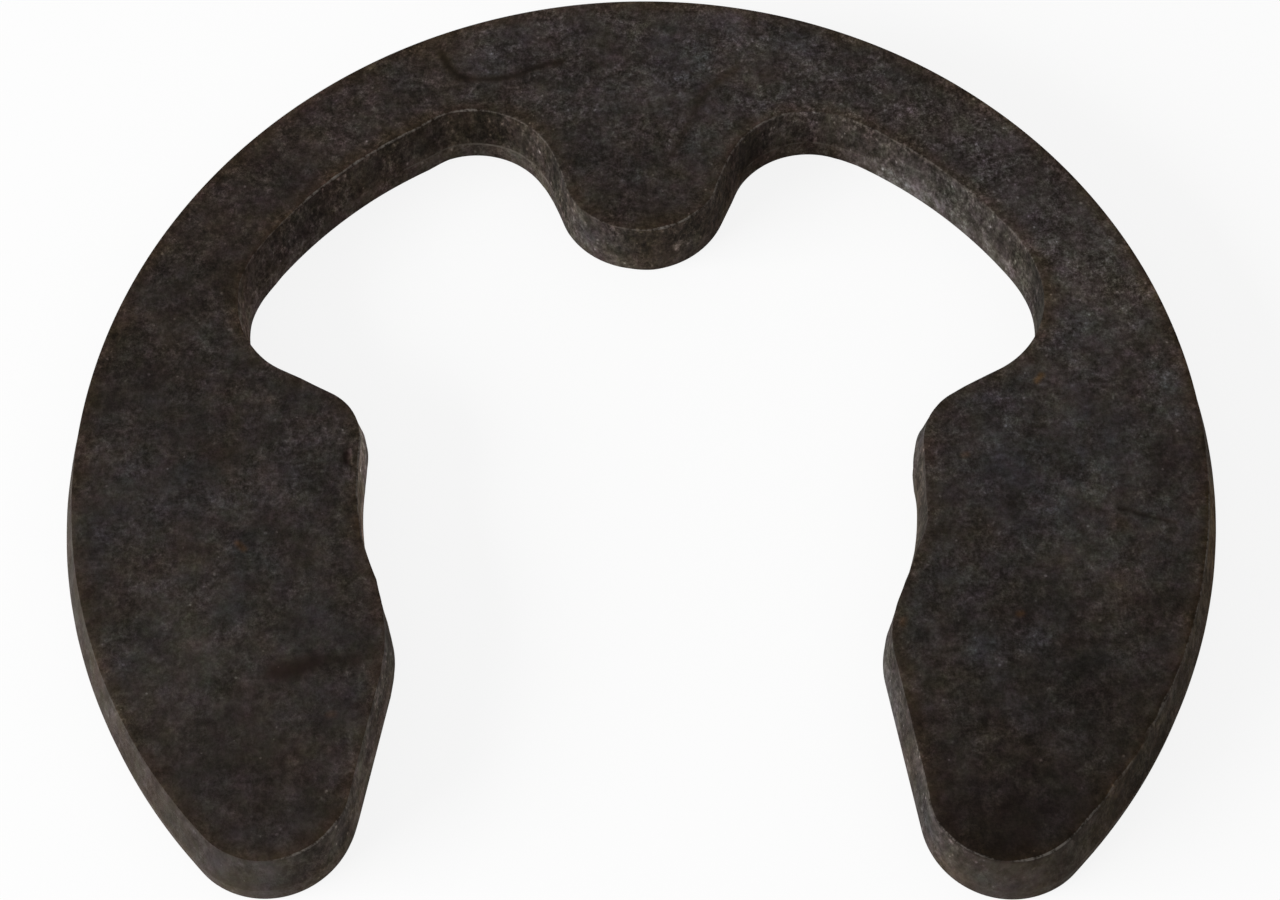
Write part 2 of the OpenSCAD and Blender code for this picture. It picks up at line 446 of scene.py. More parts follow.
top_loop, lower_loop = rings[-1][:, :2], rings[0][:, :2]
lower_inside, _ = inner_points(lower_loop, spacing=lower_grid, margin=lower_grid * 0.5)
plain_inside, plain_gap = inner_points(
    top_loop, spacing=top_grid, margin=top_grid * 0.6, wanted=lambda places: ~close_to_mark(places)
)
fine_inside, fine_gap = inner_points(
    top_loop, spacing=top_grid / 4, margin=top_grid * 0.5, wanted=close_to_mark
)
top_inside = np.concatenate([plain_inside, fine_inside])
top_gap = np.concatenate([plain_gap, fine_gap])
top_height = np.full(len(top_inside), thickness)
for path, reach, mark_depth in ((nick, 0.06, 0.018), (scratch, 0.04, 0.008)):
    top_height -= mark_depth * fading(away_from(path, top_inside), reach)

vertices = np.concatenate(
    rings
    + [np.column_stack([top_inside, top_height])]
    + [np.column_stack([lower_inside, np.zeros(len(lower_inside))])]
)
faces, zones = [], []
for ring in range(len(rings) - 1):
    low, high = ring * count, (ring + 1) * count
    for i in range(count):
        j = (i + 1) % count
        faces.append((low + i, low + j, high + j, high + i))
        zones.append(ring_zone[ring + 1])
top_start, inside_start = (len(rings) - 1) * count, len(rings) * count
for triangle in fill_face(top_loop, top_inside):
    faces.append([top_start + i if i < count else inside_start + i - count for i in triangle])
    zones.append(TOP)
lower_start = inside_start + len(top_inside)
for triangle in fill_face(lower_loop, lower_inside):
    faces.append([i if i < count else lower_start + i - count for i in reversed(triangle)])
    zones.append(UNDER)

# Lightness and colour of the coat, point by point: lighter or darker, browner or bluer, greener or
# more purple. The upper face has broad clouds, partly the coat's own unevenness and partly a painted
# sheen and painted shade, and the marks; the walls have a few pale and dark places.
deepest_mark = 0.05
flat_places, is_top = vertices[:, :2], vertices[:, 2] > thickness - deepest_mark
light, warm, green = (np.zeros(len(vertices)) for _ in range(3))


def tint(share, lighter, warmer, greener=0.0):
    """Make the coat lighter, browner and greener, by each point's share."""
    for values, change in ((light, lighter), (warm, warmer), (green, greener)):
        values += change * share


# Broad clouds first, partly painted sheen and painted shade: lighter towards the upper right and on the
# bridge, darker low on the legs and on the left of the rim. Then the coat's small patches.
for x, y, reach, lighter, warmer, greener in (
    (4.7, -5.2, 4.4, -0.50, 0.00, -0.02), (-4.4, -4.6, 2.4, -0.20, 0.04, -0.03),
    (-4.6, 4.6, 3.0, -0.18, 0.02, 0.00), (0.0, 3.7, 1.6, -0.14, 0.03, 0.00),
    (5.6, 3.0, 3.6, 0.30, -0.03, 0.00), (4.6, 1.0, 1.6, 0.10, -0.02, 0.00),
    (1.2, 6.3, 3.4, 0.34, -0.02, 0.00), (-2.6, 6.2, 2.0, 0.06, 0.00, 0.00),
    (-5.5, -2.0, 2.2, 0.10, -0.02, 0.02), (4.0, -4.3, 1.6, -0.40, 0.04, -0.03),
    (5.2, -2.3, 1.6, -0.20, 0.00, 0.00), (-6.0, 1.6, 2.6, -0.20, 0.02, 0.01),
    (-5.6, 3.5, 1.6, -0.14, 0.04, -0.02), (3.6, 5.4, 1.4, 0.32, 0.01, 0.01),
    (0.0, 6.4, 1.2, 0.16, 0.00, 0.00), (5.6, 2.6, 1.6, 0.26, 0.03, 0.02),
    (-0.8, 4.8, 1.0, -0.12, 0.01, 0.00), (-4.9, -2.3, 1.0, 0.18, 0.03, 0.00),
    (4.8, 0.5, 1.0, 0.00, -0.06, 0.01), (5.2, -0.5, 1.8, 0.24, -0.06, 0.01),
    (-5.4, 0.0, 2.0, 0.05, -0.05, 0.00), (0.0, 5.5, 0.8, 0.08, -0.06, 0.00),
    (-4.4, 4.9, 2.2, 0.06, 0.05, -0.04), (3.2, -2.6, 1.0, 0.08, 0.03, 0.02),
    (4.6, 4.9, 1.6, 0.26, 0.00, 0.00), (-3.6, 4.9, 1.4, 0.10, 0.00, 0.00),
    (4.0, -4.3, 1.2, -0.20, 0.02, 0.00), (-1.6, 6.5, 1.0, 0.26, 0.02, -0.01),
    (-2.5, 6.6, 1.0, 0.04, 0.09, -0.01), (-5.9, 3.2, 1.4, 0.00, 0.04, 0.00),
    (4.6, -2.6, 2.4, 0.00, 0.00, 0.03), (-5.0, -3.3, 2.2, 0.14, 0.00, 0.01),
    (0.0, 3.5, 0.8, -0.10, 0.03, -0.02), (6.6, 1.6, 1.2, 0.06, 0.03, 0.00),
    (-6.6, 1.2, 1.0, -0.10, 0.03, 0.00), (-3.2, -2.4, 0.8, -0.10, 0.02, 0.01),
    (-2.12, 6.04, 0.46, 0.30, -0.11, 0.00), (-4.08, -2.34, 0.22, 0.16, 0.00, 0.00),
    (-4.77, -2.70, 0.30, -0.24, 0.00, 0.05), (-4.4, -3.22, 0.24, -0.05, 0.02, -0.05),
    (-4.36, -1.87, 0.30, -0.28, 0.03, 0.00), (-4.53, -1.50, 0.28, -0.24, 0.03, 0.02),
    (-4.80, -1.80, 0.45, 0.10, -0.08, 0.00), (5.49, -0.31, 0.2, -0.14, -0.02, 0.05),
    (5.7, -0.7, 0.18, -0.10, 0.10, -0.02), (4.66, -2.16, 0.34, 0.34, -0.12, 0.00),
    (3.96, -2.35, 0.40, 0.24, -0.11, 0.00), (4.17, -2.72, 0.34, 0.20, -0.10, 0.00),
    (4.45, -3.05, 0.42, 0.44, -0.11, 0.00), (4.99, -3.62, 0.38, 0.22, -0.02, 0.00),
    (5.33, -1.46, 0.40, 0.20, -0.02, 0.00), (4.33, -1.65, 0.55, -0.36, 0.05, 0.00),
    (5.30, -1.90, 0.45, -0.30, 0.02, 0.00), (3.71, -2.60, 0.42, -0.28, 0.03, 0.00),
    (4.12, -0.88, 0.42, -0.24, 0.02, 0.00), (4.93, -2.18, 0.40, -0.26, 0.04, 0.00),
    (5.49, -3.17, 0.42, -0.26, 0.02, 0.00), (3.70, -3.10, 0.36, -0.24, 0.02, 0.00),
    (5.9, -1.4, 1.2, 0.02, 0.04, 0.00), (4.4, -3.2, 2.2, 0.02, 0.025, 0.00),
):
    tint(is_top * near(flat_places, (x, y), reach), lighter, warmer, greener)
smoothed = np.zeros(len(vertices))
for path, reach, lighter, warmer, greener, smoother in (
    (scratch, 0.2, 0.14, -0.04, 0.0, 0.0), (scratch, 0.05, -0.80, 0.06, -0.01, 0.3),
    (nick, 0.06, -0.45, 0.06, -0.16, 0.4), (nick_lip, 0.024, 0.70, 0.02, -0.05, 0.2),
    (stain_line, 0.2, 0.10, 0.0, 0.0, 0.0), (stain_line, 0.095, -0.70, 0.09, -0.01, 0.45),
    (stain_line, 0.05, -0.45, 0.02, 0.0, 0.35), (streak, 0.10, -0.46, 0.08, 0.0, 0.3),
    (smear[:3], 0.22, -0.36, 0.10, -0.11, 0.4), (smear, 0.14, -0.66, 0.08, -0.04, 0.35),
    (right_margin, 0.35, -0.16, 0.0, 0.0, 0.0), (low_margin, 0.3, 0.05, -0.06, 0.0, 0.0),
    *((speck, 0.075, 0.45, 0.46, -0.06, 0.3) for speck in rust_specks),
    *((speck, 0.075, 0.22, 0.22, -0.06, 0.2) for speck in faint_specks),
):
    share = is_top * fading(away_from(path, flat_places), reach)
    tint(share, lighter, warmer, greener)
    smoothed += smoother * share
for x, y, z, reach, lighter, warmer in (
    (0.45, 3.53, 0.43, 0.11, 1.10, -0.02), (-0.72, 3.75, 0.50, 0.45, 0.30, -0.08),
    (-3.42, 0.35, 0.55, 0.35, 0.35, -0.05), (6.06, -2.97, 0.80, 0.2, 0.40, -0.04),
    (5.9, -3.3, 0.72, 0.2, 0.35, -0.04), (5.75, -3.55, 0.50, 1.3, -0.95, 0.00),
    (6.95, -0.6, 0.60, 1.5, 0.06, 0.36), (0.9, 4.1, 0.45, 0.7, -0.50, 0.08),
    (1.3, 4.9, 0.45, 0.7, -0.50, 0.08), (3.9, 4.2, 0.5, 1.8, 0.04, -0.06),
    (-3.4, 0.55, 0.2, 0.5, 0.25, -0.04), (-3.39, 0.15, 0.3, 0.25, -0.35, 0.06),
    (0.0, 3.43, 0.76, 0.42, -0.34, 0.03), (0.5, 3.6, 0.78, 0.36, -0.24, 0.03),
    (0.5, 3.6, 0.3, 0.3, 0.15, -0.02),
):
    tint(~is_top * near(vertices, (x, y, z), reach), lighter, warmer)
flake_rim_width = 0.055
for flake_rim in (
    (
        (6.13, -2.8, 0.9), (6.17, -2.78, 0.81), (6.15, -2.87, 0.74),
        (6.08, -3.01, 0.72), (6.02, -3.14, 0.69), (5.91, -3.2, 0.88),
    ),
    (
        (5.89, -3.23, 0.9), (5.98, -3.18, 0.72), (6.01, -3.22, 0.58),
        (5.95, -3.34, 0.56), (5.86, -3.44, 0.63), (5.75, -3.47, 0.88),
    ),
    (
        (5.57, -3.78, 0.88), (5.57, -3.78, 0.81), (5.51, -3.89, 0.74),
        (5.46, -3.99, 0.68), (5.33, -4.05, 0.88),
    ),
    ((5.75, -3.47, 0.87), (5.6, -3.7, 0.88), (5.33, -4.05, 0.88)),
):
    light += fading(away_from(flake_rim, vertices), flake_rim_width)

clip_mesh = bpy.data.meshes.new("clip")
clip_mesh.from_pydata((vertices * MM).tolist(), [], faces)
clip_mesh.attributes.new("zone", "FLOAT", "FACE").data.foreach_set("value", np.array(zones, np.float32))


def on_rings(values):
    """Values for the points of the wall, ring by ring, and nought for all other points."""
    return np.concatenate([values, np.zeros(len(vertices) - inside_start)])


def along_rings(line):
    """A line of values round the outline, repeated up the wall and left out elsewhere."""
    return on_rings(np.tile(line, len(rings)))


# Which rings of points belong to the wall, and how much of each of those to the land.
land_of_zone = {ROLL: 1.0, LAND: 1.0, LEDGE: 0.6}
land_of_ring = np.array([land_of_zone.get(zone, 0.0) for zone in ring_zone])
land_of_ring[ring_zone.index(TORN)] = 0.25
wall_of_ring = np.ones(len(rings))
wall_of_ring[-2:] = 0.5, 0.0
land_share, wall_rings = (on_rings(np.repeat(share, count)) for share in (land_of_ring, wall_of_ring))
# Painted light and shade of each stretch, on its land and on its torn metal.
stretch_painted_light = along_rings(land_painted_light) * land_share + along_rings(torn_painted_light) * (1 - land_share)

# Painted light and shade on the walls by the way they face: walls that face right are painted
# browner than those that face left, and less green in the windows. The outer one is painted
# darker there too, as painted shade, most of all at its foot. Inner walls that face a side are
# painted lighter, as painted light.
side = faces_out[:, 0]
right_rim = (1 - inner_wall) * side.clip(0, 1)
warm += along_rings(0.05 * inner_wall * side + 0.13 * right_rim)
light += along_rings(0.12 * inner_wall * abs(side) - 0.38 * right_rim)
warm += along_rings(wall_brown) * wall_rings - along_rings(land_grey) * land_share
in_window = inner_wall * np.interp(foot[:, 1], (0.9, 1.6), (0.0, 1.0))
green -= 0.02 * wall_rings + along_rings(in_window * side * np.where(side > 0, 0.065, 0.02))
# Painted shade low on the outer wall on the right, darkest at its foot.
tint(fading(vertices[:, 2], 0.7) * along_rings(right_rim), lighter=-0.40, warmer=0.05)

# The coat's grain is crisp on the bridge, where pale specks lie thick, and worn smooth on the legs.
grain = np.interp(vertices[:, 1], (-4.6, -3.0, -1.5, 0.5, 4.0, 6.0), (0.62, 0.74, 0.88, 0.95, 1.12, 1.2))
specks = np.interp(vertices[:, 1], (-4.0, -2.0, 0.5, 3.0, 5.0), (0.08, 0.18, 0.34, 0.48, 0.62))
for x, y, reach, grainier, more_specks in (
    (3.9, 4.6, 2.2, 0.18, 0.45), (4.4, -3.0, 2.2, 0.24, 0.12), (5.6, 2.6, 1.6, 0.25, 0.35),
    (2.0, 5.4, 1.2, 0.05, 0.25), (-1.4, 5.4, 0.9, 0.05, 0.2), (4.0, -1.2, 1.0, 0.15, 0.25),
    (-4.8, -2.8, 2.0, -0.08, -0.10),
):
    share = near(flat_places, (x, y), reach)
    grain += grainier * share
    specks += more_specks * share
grain -= smoothed
specks -= smoothed
tinge = np.ones(len(vertices))
for x, y, reach, more in (
    (4.4, 4.0, 3.4, -0.62), (-4.4, 4.0, 3.0, -0.12), (-5.0, 0.0, 2.6, 0.25),
    (5.0, 0.0, 2.6, 0.2), (-5.0, -3.4, 2.0, -0.25),
):
    tinge += more * near(flat_places, (x, y), reach)

# Patches and clouds stand out more on the right of the rim and low on the right leg, and less
# high on the left leg. The grain of the walls has shares of its own.
rim_roughness = 0.8
wall_specks = 0.45
rougher = 1 + rim_roughness * along_rings(right_rim)
mottle = rougher.copy()
for x, y, reach, more in ((-5.2, 0.0, 2.8, -0.24), (4.4, -2.8, 2.4, 0.5)):
    mottle += is_top * more * near(flat_places, (x, y), reach)
wall_grain = np.interp(vertices[:, 1], (-4.5, -3.0, 1.0, 3.0), (0.6, 0.75, 0.9, 1.0))
grain[~is_top] = (wall_grain * rougher)[~is_top]
specks[~is_top] = wall_specks

edge_gap = np.zeros(len(vertices))
edge_gap[inside_start:lower_start] = top_gap
for name, values in {
    "edge_gap": edge_gap,
    "tear": on_rings(np.repeat([zone == TORN for zone in ring_zone], count)),
    "inner_wall": along_rings(inner_wall),
    "worn_and_glint": along_rings(worn_and_glint),
    "lit_ledge": along_rings(lit_ledge),
    "light": light,
    "warm": warm,
    "green": green,
    "grain": grain,
    "specks": specks,
    "tinge": tinge,
    "mottle": mottle,
    "land": land_share,
    # Painted light and shade of each stretch, up the wall.
    "wall_tone": stretch_painted_light * wall_rings,
}.items():
    attribute = clip_mesh.attributes.new(name, "FLOAT", "POINT")
    attribute.data.foreach_set("value", np.asarray(values, np.float32))
for polygon in clip_mesh.polygons:
    polygon.use_smooth = True
sharp_from = math.radians(28)
clip_mesh.set_sharp_from_angle(angle=sharp_from)
clip = bpy.data.objects.new("clip_body", clip_mesh)
bpy.context.scene.collection.objects.link(clip)

# Finish of the clip: a thin phosphate coat, brown black under a grey bloom of fine curled
# crystals, thinner along the edges and painted bright in stretches of the sharp upper edge, partly
# as rubbed metal and partly as a painted highlight. Its lightness also carries painted light and
# shade from the points' values.
coat = bpy.data.materials.new("black_phosphate_coat")
coat.use_nodes = True
coat.node_tree.nodes.clear()


def node_in(tree, kind, inputs=None, **settings):
    """A new node in a tree, with each of its inputs linked to a socket or set to a value."""
    made = tree.nodes.new(kind)
    for name, value in settings.items():
        setattr(made, name, value)
    for key, value in (inputs or {}).items():
        if isinstance(value, bpy.types.NodeSocket):
            tree.links.new(value, made.inputs[key])
        else:
            made.inputs[key].default_value = value
    return made


def coat_node(kind, inputs=None, **settings):
    return node_in(coat.node_tree, kind, inputs, **settings)


def calc(operation, a, b=0.0, c=0.0):
    return coat_node("ShaderNodeMath", {0: a, 1: b, 2: c}, operation=operation).outputs[0]


def vector_calc(operation, a, b=(0.0, 0.0, 0.0), c=(0.0, 0.0, 0.0)):
    return coat_node("ShaderNodeVectorMath", {0: a, 1: b, 2: c}, operation=operation).outputs["Vector"]


def scaled(vector, share):
    made = coat_node("ShaderNodeVectorMath", {0: vector, "Scale": share}, operation="SCALE")
    return made.outputs["Vector"]


def span(value, low, high, to_low=0.0, to_high=1.0):
    return coat_node(
        "ShaderNodeMapRange",
        {"Value": value, "From Min": low, "From Max": high, "To Min": to_low, "To Max": to_high},
        interpolation_type="SMOOTHSTEP",
    ).outputs["Result"]


def mixed(share, a, b):
    return coat_node("ShaderNodeMix", {0: share, 4: a, 5: b}, data_type="VECTOR").outputs[1]


def grained(scale, detail, roughness, shift=0.0, distortion=0.0, stretch=(1.0, 1.0, 1.0)):
    """Uneven noise about nought, with a number of grains to the millimetre."""
    moved = coat_node(
        "ShaderNodeMapping", {"Vector": coat_place, "Location": (shift,) * 3, "Scale": stretch}
    )
    noise = coat_node(
        "ShaderNodeTexNoise",
        {
            "Vector": moved.outputs["Vector"], "Scale": scale, "Detail": detail,
            "Roughness": roughness, "Distortion": distortion,
        },
    )
    return calc("SUBTRACT", noise.outputs["Fac"], 0.5)


def dots(vector, scale, smallest, largest, core):
    """Round dots with soft rims, strewn so many to the millimetre, and each one's own random draw."""
    field = coat_node("ShaderNodeTexVoronoi", {"Vector": vector, "Scale": scale, "Randomness": 1.0})
    draw = coat_node("ShaderNodeSeparateColor", {0: field.outputs["Color"]}).outputs
    size = span(draw[0], 0.0, 1.0, smallest, largest)
    return span(calc("DIVIDE", field.outputs["Distance"], size), core, 1.0, 1.0, 0.0), draw


def point_value(name):
    return coat_node("ShaderNodeAttribute", attribute_name=name).outputs["Fac"]


# The punch drew the grain out up the walls.
drawn_out = 0.65
coat_place = scaled(coat_node("ShaderNodeTexCoord").outputs["Object"], 1 / MM)
coat_place = vector_calc(
    "MULTIPLY_ADD", coat_place, (1.0, 1.0, drawn_out), (0.0, 0.0, thickness * (1 - drawn_out))
)
face_zone = point_value("zone")
gap = point_value("edge_gap")
on_wall = calc("GREATER_THAN", face_zone, EDGE + 0.5)
on_wall = calc("MULTIPLY", on_wall, calc("LESS_THAN", face_zone, UNDER - 0.5))
on_edge = calc("COMPARE", face_zone, EDGE, 0.4)
on_ledge = calc("COMPARE", face_zone, LEDGE, 0.4)
on_land = point_value("land")
inner_share = point_value("inner_wall")

# Grain of the coat, as how much lighter or darker each place is: curled threads and grit, broader
# patches and clouds, ragged pale specks, and single pale grains that stand out all over.
grain_depth = 5.4
patch_depth = 1.9
cloud_depth = 1.5
speckle_depth = 1.05
pale_grain_depth = 1.1
pale_grain_share = 0.5
clouds = grained(scale=1.2, detail=3.0, roughness=0.55, distortion=0.3)
patches = grained(scale=4.0, detail=3.0, roughness=0.6, shift=3.1, distortion=0.2)
grit = grained(scale=14.5, detail=5.0, roughness=0.82, shift=5.2)
curls = calc("ABSOLUTE", grained(scale=9.0, detail=3.0, roughness=0.6, shift=8.4, distortion=0.6))
threads = span(curls, 0.0, 0.07, 1.0, 0.0)
liveliness = span(grained(scale=2.2, detail=2.0, roughness=0.5, shift=1.7), -0.16, 0.16, 0.75, 1.3)
liveliness = calc("MULTIPLY", liveliness, point_value("grain"))
fine = calc("MULTIPLY", calc("MULTIPLY_ADD", threads, 0.03, grit), liveliness)
depth = calc("MULTIPLY_ADD", fine, grain_depth, point_value("light"))
mottle_share = point_value("mottle")
depth = calc("MULTIPLY_ADD", calc("MULTIPLY", patches, mottle_share), patch_depth, depth)
depth = calc("MULTIPLY_ADD", calc("MULTIPLY", clouds, mottle_share), cloud_depth, depth)

ragged = coat_node("ShaderNodeTexNoise", {"Vector": coat_place, "Scale": 30.0, "Detail": 1.0})
ragged_place = vector_calc("ADD", coat_place, scaled(ragged.outputs["Color"], 0.02))
speckle, speckle_draw = dots(ragged_place, scale=13.0, smallest=0.16, largest=0.42, core=0.3)
speckle = calc("MULTIPLY", speckle, span(speckle_draw[1], 0.0, 1.0, 0.2, 1.0))
speckle_share = calc("MULTIPLY_ADD", clouds, 0.6, point_value("specks"))
speckle = calc("MULTIPLY", speckle, calc("LESS_THAN", speckle_draw[2], speckle_share))
depth = calc("MULTIPLY_ADD", speckle, speckle_depth, depth)

pale_grain, pale_draw = dots(coat_place, scale=5.2, smallest=0.07, largest=0.15, core=0.4)
pale_grain = calc("MULTIPLY", pale_grain, calc("LESS_THAN", pale_draw[1], pale_grain_share))
depth = calc("MULTIPLY_ADD", pale_grain, pale_grain_depth, depth)

# Colour of the coat: darker is browner, lighter is greyer, with blue, green and purple clouds.
coat_level = 0.0190
coat_tint = (1.21, 0.955, 0.82)
brown_clouds = 0.54
green_clouds = 0.60
greyer_when_light = 0.07
tints = calc(
    "MULTIPLY", grained(scale=1.4, detail=5.0, roughness=0.68, shift=6.6), point_value("tinge")
)
warmth = calc("MULTIPLY_ADD", tints, brown_clouds, point_value("warm"))
warmth = calc("MULTIPLY_ADD", depth, -greyer_when_light, warmth)
brown_band = span(calc("MULTIPLY_ADD", patches, 0.25, gap), 0.0, 0.26, 0.15, 0.0)
warmth = calc("ADD", warmth, calc("MULTIPLY", brown_band, calc("SUBTRACT", 1.0, on_wall)))
green_tints = grained(scale=3.6, detail=4.0, roughness=0.7, shift=2.9)
greenness = calc("MULTIPLY_ADD", green_tints, green_clouds, point_value("green"))
hue = scaled((1.0, 0.0, -1.0), warmth)
hue = vector_calc("ADD", hue, scaled((-0.5, 0.5, -0.5), greenness))
face_level = calc("MULTIPLY", calc("EXPONENT", depth), coat_level)
face_tone = scaled(vector_calc("ADD", hue, coat_tint), face_level)

# Walls: the torn part is dark and coarse, the land below it paler and smoother.
torn_level = 0.0245
land_level = 0.0395
wall_tint = (1.23, 0.96, 0.73)


def by_wall(outer, inner):
    """One value on the outer wall and another on the inner walls."""
    return span(inner_share, 0.0, 1.0, outer, inner)


score_lines = grained(scale=7.0, detail=4.0, roughness=0.7, shift=4.3, stretch=(1.0, 1.0, 0.8))
scores = calc("MULTIPLY", score_lines, point_value("grain"))
scores = calc("MULTIPLY", scores, by_wall(outer=1.0, inner=1.4))
coarse = calc("MULTIPLY_ADD", depth, by_wall(outer=0.65, inner=1.3), scores)
smooth = calc("MULTIPLY", depth, by_wall(outer=0.45, inner=1.0))
wall_depth = calc("ADD", calc("MULTIPLY", on_land, calc("SUBTRACT", smooth, coarse)), coarse)
# The painted light and shade of each stretch.
wall_depth = calc("ADD", wall_depth, point_value("wall_tone"))
paler = calc("MULTIPLY", on_land, by_wall(outer=0.5, inner=1.0))
wall_level = calc("MULTIPLY_ADD", paler, land_level - torn_level, torn_level)
wall_level = calc("MULTIPLY", calc("EXPONENT", wall_depth), wall_level)
wall_tone = scaled(vector_calc("ADD", hue, wall_tint), wall_level)
tone = mixed(on_wall, face_tone, wall_tone)

# Bright places: the upper edge, rubbed and partly a painted highlight, and a painted highlight on
# the top of the land where it catches the light.
rubbed_and_glint_tone = (0.15, 0.135, 0.12)
ledge_highlight_tone = (0.10, 0.086, 0.072)
wear_and_glint = calc("MULTIPLY", point_value("worn_and_glint"), span(grit, -0.12, 0.08))
wear_and_glint = calc("MULTIPLY", on_edge, wear_and_glint)
tone = mixed(wear_and_glint, tone, rubbed_and_glint_tone)
ledge_highlight = calc("MULTIPLY", point_value("lit_ledge"), span(patches, -0.2, 0.1))
ledge_highlight = calc("MULTIPLY", on_ledge, ledge_highlight)
tone = mixed(ledge_highlight, tone, ledge_highlight_tone)

relief = calc("MULTIPLY_ADD", speckle, 0.25, calc("MULTIPLY_ADD", patches, 0.6, fine))
relief_height = 0.014 * MM
bump = coat_node("ShaderNodeBump", {"Strength": 1.0, "Distance": relief_height, "Height": relief})
shader = coat_node(
    "ShaderNodeBsdfPrincipled",
    {
        "Base Color": tone,
        "Roughness": span(calc("ADD", fine, patches), -0.25, 0.25, 0.80, 0.58),
        "Specular IOR Level": 0.06,
        "Normal": bump.outputs["Normal"],
    },
)
coat_node("ShaderNodeOutputMaterial", {"Surface": shader.outputs["BSDF"]})

# Unevenness of the clip: the rolled strip is never quite flat, and the metal above the land
# tears in small steps. The tree only ever moves the surface inwards.
uneven = bpy.data.node_groups.new("uneven_strip", "GeometryNodeTree")
uneven.interface.new_socket("Geometry", in_out="INPUT", socket_type="NodeSocketGeometry")
uneven_sizes = {
    "Wave Scale": 900.0,
    "Wave Depth": 0.004 * MM,
    "Tear Scale": 6000.0,
    "Tear Depth": 0.012 * MM,
}
socket_of = {}
for name, value in uneven_sizes.items():
    socket = uneven.interface.new_socket(name, in_out="INPUT", socket_type="NodeSocketFloat")
    socket.default_value = value
    socket_of[name] = socket.identifier
uneven.interface.new_socket("Geometry", in_out="OUTPUT", socket_type="NodeSocketGeometry")


def uneven_node(kind, inputs=None, **settings):
    return node_in(uneven, kind, inputs, **settings)


def uneven_calc(operation, a, b, c=0.0):
    return uneven_node("ShaderNodeMath", {0: a, 1: b, 2: c}, operation=operation).outputs[0]


def uneven_noise(scale, roughness):
    noise = uneven_node("ShaderNodeTexNoise", {"Scale": scale, "Detail": 2.0, "Roughness": roughness})
    return noise.outputs["Fac"]


given = uneven_node("NodeGroupInput")
tear = uneven_node("GeometryNodeInputNamedAttribute", {"Name": "tear"}, data_type="FLOAT")
strip_waves = uneven_noise(given.outputs["Wave Scale"], roughness=0.5)
tear_steps = uneven_noise(given.outputs["Tear Scale"], roughness=0.6)
wave_depth = uneven_calc("MULTIPLY", strip_waves, given.outputs["Wave Depth"])
tear_depth = uneven_calc("MULTIPLY", tear_steps, given.outputs["Tear Depth"])
torn_depth = uneven_calc("MULTIPLY_ADD", tear_depth, tear.outputs["Attribute"], wave_depth)
inwards = uneven_calc("MULTIPLY", torn_depth, -1.0)
normal = uneven_node("GeometryNodeInputNormal")
push = uneven_node(
    "ShaderNodeVectorMath", {0: normal.outputs["Normal"], "Scale": inwards}, operation="SCALE"
)
pushed = uneven_node(
    "GeometryNodeSetPosition",
    {"Geometry": given.outputs["Geometry"], "Offset": push.outputs["Vector"]},
)
realized = uneven_node("GeometryNodeRealizeInstances", {"Geometry": pushed.outputs["Geometry"]})
finished = uneven_node(
    "GeometryNodeSetMaterial", {"Geometry": realized.outputs["Geometry"], "Material": coat}
)
uneven_node("NodeGroupOutput", {"Geometry": finished.outputs["Geometry"]})

surface = clip.modifiers.new("uneven_strip", "NODES")
surface.node_group = uneven
for name, value in uneven_sizes.items():
    surface[socket_of[name]] = value
bpy.context.view_layer.update()
evaluated = clip.evaluated_get(bpy.context.evaluated_depsgraph_get())
clip.data = bpy.data.meshes.new_from_object(evaluated)
clip.modifiers.remove(surface)
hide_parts("clip")
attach(clip, "root")

# Floor: a plain sheet of matt white paper, far wider than the picture, that the clip lies flat on.
# It is not part of the clip. It looks white to the camera and keeps the clip's soft shadow.
floor_reach = 2.0
paper_tone = (0.88, 0.88, 0.88, 1)
floor_corners = [(x * floor_reach, y * floor_reach, 0) for x, y in ((-1, -1), (1, -1), (1, 1), (-1, 1))]
floor_mesh = bpy.data.meshes.new("floor")
floor_mesh.from_pydata(floor_corners, [], [(0, 1, 2, 3)])
floor = bpy.data.objects.new("floor", floor_mesh)
bpy.context.scene.collection.objects.link(floor)
paper = bpy.data.materials.new("white_paper")
paper.use_nodes = True
paper.node_tree.nodes.clear()


def share_of_rays(tree, shares):
    """How much of a stage surface's plain white a ray sees, by the kind of ray it is."""
    rays = node_in(tree, "ShaderNodeLightPath")
    total = 0.0
    for kind, share in shares:
        part = {0: rays.outputs[kind], 1: share, 2: total}
        added = node_in(tree, "ShaderNodeMath", part, operation="MULTIPLY_ADD", use_clamp=True)
        total = added.outputs[0]
    return total


def lit_or_white(tree, output, lit, white, shares):
    """End a stage surface's tree: lit like anything else, and plain white to a share of the rays."""
    either = node_in(
        tree,
        "ShaderNodeMixShader",
        {0: share_of_rays(tree, shares), 1: lit.outputs[0], 2: white.outputs[0]},
    )
    node_in(tree, output, {"Surface": either.outputs[0]})


lit_or_white(
    paper.node_tree,
    "ShaderNodeOutputMaterial",
    lit=node_in(paper.node_tree, "ShaderNodeBsdfDiffuse", {"Color": paper_tone}),
    white=node_in(paper.node_tree, "ShaderNodeEmission", {"Strength": 1.0}),
    shares=(("Is Camera Ray", 0.86), ("Is Glossy Ray", 0.12), ("Is Transmission Ray", 0.86)),
)
floor_mesh.materials.append(paper)

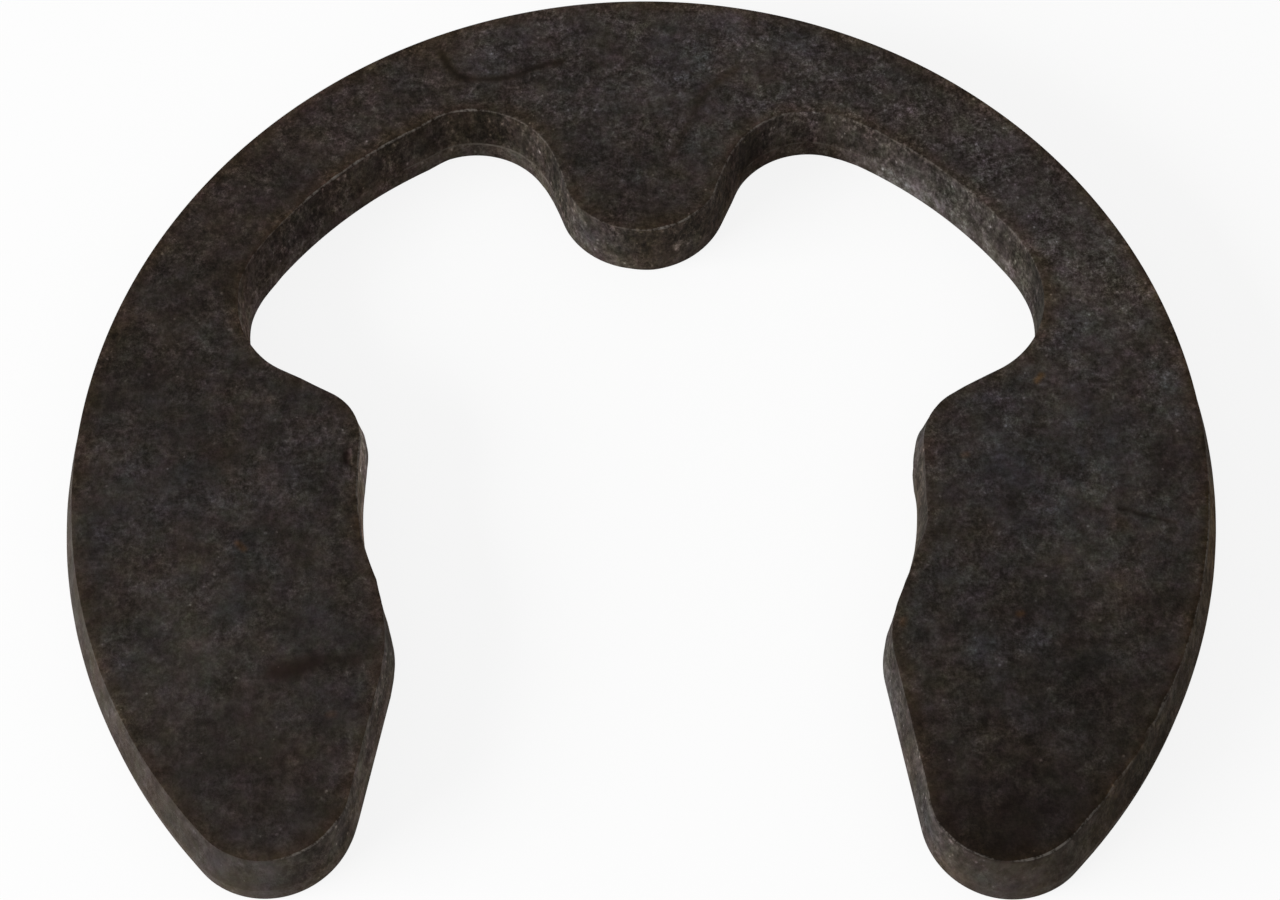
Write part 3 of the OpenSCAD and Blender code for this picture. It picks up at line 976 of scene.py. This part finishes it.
# Light: a wide soft panel low on the left, and a pale room all round that fills the shadows.
# The camera sees the room as plain white.
panel_data = bpy.data.lights.new("left_panel", "AREA")
panel_data.shape = "RECTANGLE"
panel_data.size = 0.12
panel_data.size_y = 0.07
panel_data.energy = 0.38
panel = bpy.data.objects.new("left_panel", panel_data)
panel.location = (-0.14, -0.05, 0.055)
panel.rotation_euler = (-panel.location).to_track_quat("-Z", "Y").to_euler()
bpy.context.scene.collection.objects.link(panel)

room_strength = 0.48
room = bpy.data.worlds.new("room")
bpy.context.scene.world = room
room.use_nodes = True
room.node_tree.nodes.clear()
room_tone = (1, 1, 1, 1)
lit_or_white(
    room.node_tree,
    "ShaderNodeOutputWorld",
    lit=node_in(room.node_tree, "ShaderNodeBackground", {"Color": room_tone, "Strength": room_strength}),
    white=node_in(room.node_tree, "ShaderNodeBackground", {"Color": room_tone, "Strength": 1.0}),
    shares=(("Is Camera Ray", 1.0), ("Is Glossy Ray", 1.0), ("Is Transmission Ray", 1.0)),
)

# Camera: close above the open end of the clip, looking down on it from the front, with the
# picture turned a little, as the photo's is.
camera_azimuth = math.radians(1.7245)
camera_elevation = math.radians(62.3538)
camera_roll = math.radians(-1.6137)
camera_target = Vector((-0.005, 0.808, 0.0)) * MM
camera_distance = 33.985 * MM
focal_pixels = 2735.8
picture_pixels = 1280
sensor_width = 36.0
to_camera = Vector((
    math.sin(camera_azimuth) * math.cos(camera_elevation),
    -math.cos(camera_azimuth) * math.cos(camera_elevation),
    math.sin(camera_elevation),
))
sideways = Vector((math.cos(camera_azimuth), math.sin(camera_azimuth), 0.0))
upright = to_camera.cross(sideways)
picture_right = sideways * math.cos(camera_roll) + upright * math.sin(camera_roll)
picture_up = -sideways * math.sin(camera_roll) + upright * math.cos(camera_roll)
turned = Matrix((picture_right, picture_up, to_camera)).transposed()
camera_data = bpy.data.cameras.new("camera")
camera_data.sensor_fit = "HORIZONTAL"
camera_data.sensor_width = sensor_width
camera_data.lens = focal_pixels / picture_pixels * sensor_width
camera_data.clip_start = 0.001
camera_data.clip_end = 20.0
camera = bpy.data.objects.new("camera", camera_data)
camera.matrix_world = Matrix.Translation(camera_target + to_camera * camera_distance) @ turned.to_4x4()
bpy.context.scene.collection.objects.link(camera)
bpy.context.scene.camera = camera
bpy.context.scene.view_settings.view_transform = "Standard"

bpy.context.view_layer.update()
